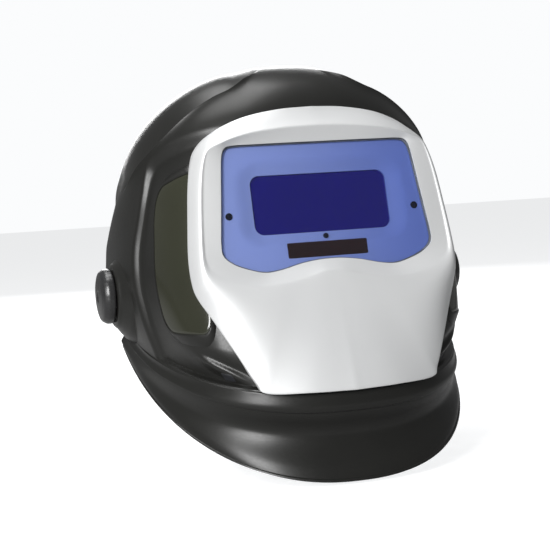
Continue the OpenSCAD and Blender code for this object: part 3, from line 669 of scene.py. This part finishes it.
def cover_point(k, u):
    """A point of the cover's face. k runs round the half loop; u is 0 at the opening, 1 at the
    crease and 2 at the outline. The surround is straight between its two loops. The main face
    takes its forward distance from the centre line, less a drop that grows towards the edge."""
    o, c, e = through(OPENING, k), through(CREASE, k), through(OUTLINE, k)
    start = on_lens(o[..., 0], o[..., 1], 0.35)
    crease_f = (LENS_F * math.cos(LEAN) + LENS_Z * math.sin(LEAN) + c[..., 2]
                - c[..., 1] * math.sin(LEAN)) / math.cos(LEAN)
    w = np.clip(u, 0, 1)
    inner = np.stack([start[..., 0] + (c[..., 0] - start[..., 0]) * w,
                      start[..., 1] + (-crease_f - start[..., 1]) * w**1.1,
                      start[..., 2] + (c[..., 1] - start[..., 2]) * w], -1)
    v = np.clip(u - 1, 0, 1)
    x = c[..., 0] + (e[..., 0] - c[..., 0]) * v
    z = c[..., 1] + (e[..., 1] - c[..., 1]) * v
    forward = (face_forward(z) - (face_forward(e[..., 1]) - e[..., 2]) * v**2.4
               + (crease_f - face_forward(c[..., 1])) * (1 - v) ** 2)
    main = np.stack([x, -forward, z], -1)
    return np.where((u <= 1)[..., None], inner, main)


def make_cover():
    """The silver front cover: rows from the opening over the crease to the outline, down the
    folded lip, and back behind the face to the opening."""
    per_half = 17 * 14
    k = np.linspace(0, 17, per_half + 1)
    rows = spaced(0, (0.86, 9), (1.16, 9), (1.7, 14), (1.94, 10), (2, 4))
    u, kk = np.meshgrid(rows, k, indexing="ij")
    face = cover_point(kk, u)
    fold = through(OUTLINE, k)[:, 3]
    edge = face[-1]
    inward_x = -np.sign(edge[:, 0]) * np.minimum(np.abs(edge[:, 0]) * 0.02, 1.0)
    inward = np.stack([inward_x, 0 * k, -np.sign(edge[:, 2] - 30) * 0.6], -1)
    lips = [edge + np.stack([0 * k, fold * f, 0 * k], -1) + inward * f for f in (0.12, 0.35, 0.7, 1.0)]
    tuck = [lips[-1] + inward * 1.8 + np.stack([0 * k, 0 * k + dy, 0 * k], -1) for dy in (0.2, -1.0)]
    behind = face[::-1][3:] + np.array([0, 2.3, 0])
    behind[-1] = face[0] + np.array([0, 0.75, -0.05])
    behind[:3] += inward * 1.8
    half = np.concatenate([face, np.stack(lips), np.stack(tuck), behind])
    for _ in range(3):
        middle = half[1:-1] * 0.5 + (half[:-2] + half[2:]) * 0.25
        soft = np.zeros(len(half) - 2)
        soft[9:19] = 1
        soft[len(rows) - 4 : len(rows) + 2] = 1
        half[1:-1] += (middle - half[1:-1]) * soft[:, None, None]
    other = half[:, -2:0:-1] * np.array([-1, 1, 1])
    loop = np.concatenate([half, other], 1)
    return put("front_cover_face", loop, closed_rows(loop, wrap_rows=True), "front_cover", "cover_silver",
               ["front_cover"], sharp=28)


make_cover()

# ---------------------------------------------------------------- filter face
WINDOW_W, WINDOW_H, WINDOW_R = 95.6, 40.0, 6.5


def box_distance(x, y, w, h, r):
    """Distance outside a rounded box."""
    qx, qy = np.abs(x) - (w / 2 - r), np.abs(y) - (h / 2 - r)
    return np.hypot(np.maximum(qx, 0), np.maximum(qy, 0)) + np.minimum(np.maximum(qx, qy), 0) - r


def make_bezel():
    """The blue mask: a sheet from the window's edge to the cover's opening, dished towards the
    window, with a return that runs back to the glass."""
    k = np.linspace(0, 17, 17 * 12 + 1)
    o = through(OPENING, k)
    o = np.concatenate([o, o[-2:0:-1] * np.array([-1, 1])])
    outer_edge = o * np.array([1 + 0.8 / 72, 1 + 0.8 / 42])
    angle = np.arctan2(outer_edge[:, 1] / 42, outer_edge[:, 0] / 71)
    d = np.stack([np.cos(angle) * WINDOW_W / 2, np.sin(angle) * WINDOW_H / 2], -1)
    lo, hi = np.zeros(len(d)), np.full(len(d), 2.0)
    for _ in range(40):
        mid = (lo + hi) / 2
        out = box_distance(d[:, 0] * mid, d[:, 1] * mid, WINDOW_W, WINDOW_H, WINDOW_R) > 0
        lo, hi = np.where(out, lo, mid), np.where(out, mid, hi)
    inner_edge = d * lo[:, None]
    w = spaced(0, (0.1, 4), (1, 26))[:, None, None]
    flat = inner_edge[None] * (1 - w) + outer_edge[None] * w
    away = box_distance(flat[..., 0] * 0.84, flat[..., 1], WINDOW_W * 0.84, WINDOW_H, WINDOW_R)
    dish = 2.7 * (1 - step(-2.0, 11.0, away))
    front = on_lens(flat[..., 0], flat[..., 1], -2.95 - dish)
    back = on_lens(flat[::-1, :, 0], flat[::-1, :, 1], -4.9 - 0.95 * dish[::-1])
    wall = on_lens(inner_edge[:, 0], inner_edge[:, 1], -6.9)[None]
    grid = np.concatenate([front, back, wall])
    return put("blue_mask", grid, closed_rows(grid, wrap_rows=True), "helmet", "bezel_blue",
               ["filter_bezel"], sharp=40)


make_bezel()


def make_solar():
    """The solar strip: a thin slab with a softened edge, set flush in the mask."""
    width, height, corner, below_middle, back, front = 56, 10.4, 0.8, 32, -4.4, -2.78
    rows = []
    for share, grow, z in ((0, 0, back), (1, 0, back), (1, 0, -3.0), (1, -0.25, front), (0, 0, front)):
        e = rounded_box(width + 2 * grow, height + 2 * grow, corner, 120) * share
        rows.append(on_lens(e[:, 0], e[:, 1] - below_middle, z))
    grid = np.stack(rows)
    return put("solar_strip", grid, closed_rows(grid), "helmet", "solar_dark", ["solar_cell"])


make_solar()

# arc sensors: name, place across and up the filter's face, diameter, and how far each is sunk
SENSORS = (("left", 65.1, -6.6, 4.8, 0), ("right", -65.1, -6.6, 4.8, 0), ("centre", 0.0, -23.2, 3.6, 1.0))
for name, x, y, d, sunk in SENSORS:
    # a small black cup with a domed sensor at its bottom
    r = d / 2
    cup = rounded([(-6.6, 0.0), (-6.6, r), (-2.5, r), (-2.5, r * 0.9), (-2.9, r * 0.8), (-2.7, r * 0.4),
                   (-2.65, 0.0)], 0.15, 4)
    g = turned(cup, 40)
    grid = on_lens(x + g[..., 1], y + g[..., 2], g[..., 0] - sunk)
    put(f"sensor_cup_{name}", grid, closed_rows(grid), "helmet", "sensor_dark", [f"arc_sensor_{name}"])

# ---------------------------------------------------------------- tension and ratchet knobs
for side, word in ((1, "left"), (-1, "right")):
    dome = rounded([(127.3, 9.0), (127.3, 19.0), (128.4, 19.5), (132.0, 19.4), (135.3, 17.2), (136.5, 13.0),
                    (136.9, 6.0), (136.9, 4.2), (136.3, 3.6), (136.2, 0.0)], 1.4, 6)
    dome = np.concatenate([[(130.2, 0.0), (130.2, 9.0)], dome])
    grid = turned(dome, 144, 24, 0.12, 16.0)
    grid[..., 0] *= side
    put(f"tilt_knob_{word}", grid, closed_rows(grid), f"knob_{word}", "black_plastic",
        [f"tension_knob_{word}"], finish=smooth_nylon)


NAPE_Y, NAPE_Z, NAPE_SLOPE = 20, 22, math.radians(-25)


def nape(points):
    """Turns points from the nape strap's own frame to the helmet's: a slope of 25 degrees."""
    p = np.asarray(points, float)
    y, z = p[..., 1] - NAPE_Y, p[..., 2]
    rearward = NAPE_Y + y * math.cos(NAPE_SLOPE) - z * math.sin(NAPE_SLOPE)
    height = NAPE_Z + y * math.sin(NAPE_SLOPE) + z * math.cos(NAPE_SLOPE)
    return np.stack([p[..., 0], rearward, height], -1)


def make_ratchet_knob():
    """The size knob: a turned grip with finger notches and a dished face, on the nape axis."""
    grip = rounded([(139.7, 0.0), (139.7, 16.4), (140.8, 17.8), (146.6, 17.8), (148.6, 16.0), (149.0, 13.0),
                    (147.8, 9.5), (147.6, 0.0)], 1.0, 5)
    g = turned(grip, 180, 15, 1.3, 10.0)
    grid = nape(np.stack([g[..., 1], g[..., 0], g[..., 2]], -1))
    return put("size_knob", grid, closed_rows(grid), "ratchet", "black_plastic", ["ratchet_knob"],
               finish=smooth_nylon)


make_ratchet_knob()

# ---------------------------------------------------------------- padded pieces


def strip(path_in, path_out, low, high, round_by=0.5):
    """A closed strip between an inner and an outer path, from low to high: the section is a
    rounded box carried along the path, with rounded ends."""
    n = len(path_in)
    a = np.linspace(0, 2 * math.pi, 28, endpoint=False)
    c, s = np.cos(a), np.sin(a)
    across = np.sign(c) * np.abs(c) ** round_by
    up = np.sign(s) * np.abs(s) ** round_by
    mid, gap = (path_in + path_out) / 2, (path_out - path_in) / 2
    ends = np.sqrt(np.clip(1 - ((np.linspace(-1, 1, n)) ** 2) ** 12, 0, 1))
    tall = (high - low) / 2 * (0.25 + 0.75 * ends)
    thick = 0.15 + 0.85 * ends
    grid = (mid[:, None] + gap[:, None] * (across * thick[:, None])[..., None]
            + np.array([0, 0, 1.0]) * ((low + high) / 2 + up * tall[:, None])[..., None])
    first, last = grid[:1].mean(1, keepdims=True), grid[-1:].mean(1, keepdims=True)
    return np.concatenate([np.repeat(first, 28, 1), grid, np.repeat(last, 28, 1)])


def swell(obj, voxel, cap, frames=14):
    """Fills a pad by cloth simulation: the mesh is remeshed, blown up under pressure with no
    gravity, and no point is let further than cap from where it started."""
    scene = bpy.context.scene
    remesh = obj.modifiers.new("remesh", "REMESH")
    remesh.mode, remesh.voxel_size = "VOXEL", voxel * MM
    flat = bpy.data.meshes.new_from_object(obj.evaluated_get(bpy.context.evaluated_depsgraph_get()))
    obj.modifiers.clear()
    obj.data = flat
    start = np.zeros(len(flat.vertices) * 3)
    flat.vertices.foreach_get("co", start)
    cloth = obj.modifiers.new("fill", "CLOTH")
    cloth.settings.quality = 4
    cloth.settings.use_pressure = True
    cloth.settings.uniform_pressure_force = 3.0
    cloth.settings.effector_weights.gravity = 0.0
    cloth.settings.tension_stiffness = 25
    cloth.settings.compression_stiffness = 25
    cloth.settings.mass = 0.3
    for f in range(1, frames + 1):
        scene.frame_set(f)
    out = bpy.data.meshes.new_from_object(obj.evaluated_get(bpy.context.evaluated_depsgraph_get()))
    obj.modifiers.clear()
    end = np.zeros(len(out.vertices) * 3)
    out.vertices.foreach_get("co", end)
    move = (end - start).reshape(-1, 3)
    size = np.linalg.norm(move, axis=1, keepdims=True)
    move *= np.minimum(1, cap * MM / np.maximum(size, 1e-9))
    out.vertices.foreach_set("co", (start.reshape(-1, 3) + move).ravel())
    scene.frame_set(1)
    obj.data = out
    out.materials.clear()
    return obj


def pad(name, grid, body, node, voxel, cap, quilt):
    """A foam pad under cloth: the closed grid, swelled, then sewn channels pressed in by quilt,
    which gives the press in mm along each point's own normal."""
    obj = put(name, grid, closed_rows(grid), body, "pad_fabric", [node], sharp=180)
    swell(obj, voxel, cap)
    mesh = obj.data
    n = len(mesh.vertices)
    co, no = np.zeros(n * 3), np.zeros(n * 3)
    mesh.vertices.foreach_get("co", co)
    mesh.vertices.foreach_get("normal", no)
    co, no = co.reshape(-1, 3), no.reshape(-1, 3)
    co -= no * (quilt(co / MM) * MM)[:, None]
    mesh.vertices.foreach_set("co", co.ravel())
    mesh.update()
    mesh.shade_smooth()
    if not mesh.materials:
        mesh.materials.append(pad_cloth)
    more = obj.modifiers.new("finer", "SUBSURF")
    more.levels = more.render_levels = 1
    return obj


BAND_R = 80.0
a = np.radians(np.linspace(-61, 61, 90))
front_arc = np.stack([np.sin(a), -np.cos(a), 0 * a], -1)
centre = np.array([0, 8.0, 0])
pad("brow_pad", strip(centre + front_arc * (BAND_R - 4.6), centre + front_arc * (BAND_R - 1.4), 13.4, 40.6),
    "headgear", "sweatband", 2.2, 0.9,
    lambda p: 0.7 * np.exp(-((np.abs(p[:, 2] - 27) - 10.5) / 0.9) ** 2))

a = np.radians(np.linspace(-17.5, 17.5, 40))
top_arc = np.stack([np.sin(a), 0 * a, np.cos(a)], -1)
# the strip is made lying down, with the arc's height along Y, and stood up after it
lying = [arc * [1, 0, 0] + [0, 1, 0] * arc[:, 2:3] for arc in (top_arc * 77.0, top_arc * 80.8)]
crown_grid = strip(*lying, -6.8, 48.8)
crown_grid = crown_grid[..., [0, 2, 1]] + np.array([0, 0, 30.0])
pad("crown_cushion", crown_grid, "headgear", "crown_pad", 2.4, 1.0,
    lambda p: 0.8 * np.exp(-((np.abs(p[:, 1] - 21) - 14) / 1.0) ** 2))

a = np.radians(np.linspace(-44, 44, 70))
rear_arc = np.stack([np.sin(a), np.cos(a), 0 * a], -1)
back_centre = np.array([0, 46.0, 0])
nape_grid = nape(strip(back_centre + rear_arc * (BAND_R - 2.6), back_centre + rear_arc * (BAND_R + 1.2),
                       -10.0, 10.0))
pad("nape_cushion", nape_grid, "nape_cradle", "nape_pad", 2.2, 0.9,
    lambda p: 0.0 * p[:, 0])

# ---------------------------------------------------------------- floor, light and camera


def bare_mesh(name, points, quads, finish):
    """A plain mesh from points in metres, with one finish."""
    mesh = bpy.data.meshes.new(name)
    mesh.from_pydata([tuple(p) for p in points], [], quads)
    mesh.materials.append(finish)
    obj = bpy.data.objects.new(name, mesh)
    bpy.context.scene.collection.objects.link(obj)
    return obj


floor_z = cad_box[0][2] - 0.0015
floor_paint = moulded("matt_paper_floor", "#a2a2a2", "#9d9d9d", 0.8, 0.05, 20.0, 0.01, 400.0)
# to the camera the floor is as bright far off as it is near, like a lit paper sweep
even = add(floor_paint.node_tree, "LightPath").outputs["Is Camera Ray"]
lift = add(floor_paint.node_tree, "MapRange", {"Value": even, "To Min": 0.0, "To Max": 0.76})
skin = next(n for n in floor_paint.node_tree.nodes if n.type == "BSDF_PRINCIPLED")
skin.inputs["Emission Color"].default_value = linear("#fbfcfd")
floor_paint.node_tree.links.new(lift.outputs[0], skin.inputs["Emission Strength"])
FLOOR_HALF = 9
corners = [(x * FLOOR_HALF, y * FLOOR_HALF, floor_z) for x, y in ((-1, -1), (1, -1), (1, 1), (-1, 1))]
floor = bare_mesh("floor", corners, [(0, 1, 2, 3)], floor_paint)

world = bpy.data.worlds.new("studio")
bpy.context.scene.world = world
world.use_nodes = True
sky = world.node_tree.nodes["Background"]
sky.inputs[0].default_value = linear("#fbfcfd")
# the backdrop is white to the camera, and dimmer as a light, so that the lamps model the form
seen = add(world.node_tree, "LightPath").outputs["Is Camera Ray"]
glow = add(world.node_tree, "MapRange", {"Value": seen, "To Min": 0.22, "To Max": 1.0})
world.node_tree.links.new(glow.outputs[0], sky.inputs[1])
bpy.context.scene.view_settings.view_transform = "Standard"


def softbox(name, where, at, width, height, power):
    """A rectangular lamp at a place in metres, turned to face a point."""
    lamp = bpy.data.lights.new(name, "AREA")
    lamp.shape, lamp.size, lamp.size_y, lamp.energy = "RECTANGLE", width, height, power
    obj = bpy.data.objects.new(name, lamp)
    obj.location = where
    obj.rotation_euler = (Vector(at) - Vector(where)).to_track_quat("-Z", "Y").to_euler()
    bpy.context.scene.collection.objects.link(obj)
    return obj


softbox("overhead", (-0.25, 0.2, 1.35), (0, 0, 0), 1.0, 0.8, 14)
softbox("left_front", (-1.35, -1.3, 0.75), (0, 0, 0.02), 0.8, 1.1, 56)
softbox("rear_fill", (0.4, 1.7, 0.6), (0, 0.05, 0), 1.0, 0.8, 18)

# the camera faces the origin from in front, towards the wearer's right: turn, elevation and roll
# in degrees, distance in metres, then lens and sensor in mm and the lens's shift
CAMERA_TURN, CAMERA_UP, CAMERA_ROLL, CAMERA_AWAY = -17.449, 3.82, -3.445, 1.015773
CAMERA_LENS, CAMERA_SENSOR, CAMERA_SHIFT = 90.34, 36, (-0.01309, 0.01308)
turn, up_by, roll = (math.radians(v) for v in (CAMERA_TURN, CAMERA_UP, CAMERA_ROLL))
back = Vector((math.sin(turn) * math.cos(up_by), -math.cos(turn) * math.cos(up_by), math.sin(up_by)))
right = (-back).cross(Vector((0, 0, 1))).normalized()
up = right.cross(-back)
right, up = right * math.cos(roll) + up * math.sin(roll), up * math.cos(roll) - right * math.sin(roll)
camera = bpy.data.objects.new("camera", bpy.data.cameras.new("camera"))
camera.matrix_world = Matrix.Translation(back * CAMERA_AWAY) @ Matrix((right, up, back)).transposed().to_4x4()
camera.data.sensor_width = CAMERA_SENSOR
camera.data.lens = CAMERA_LENS
camera.data.shift_x, camera.data.shift_y = CAMERA_SHIFT
bpy.context.scene.collection.objects.link(camera)
bpy.context.scene.camera = camera
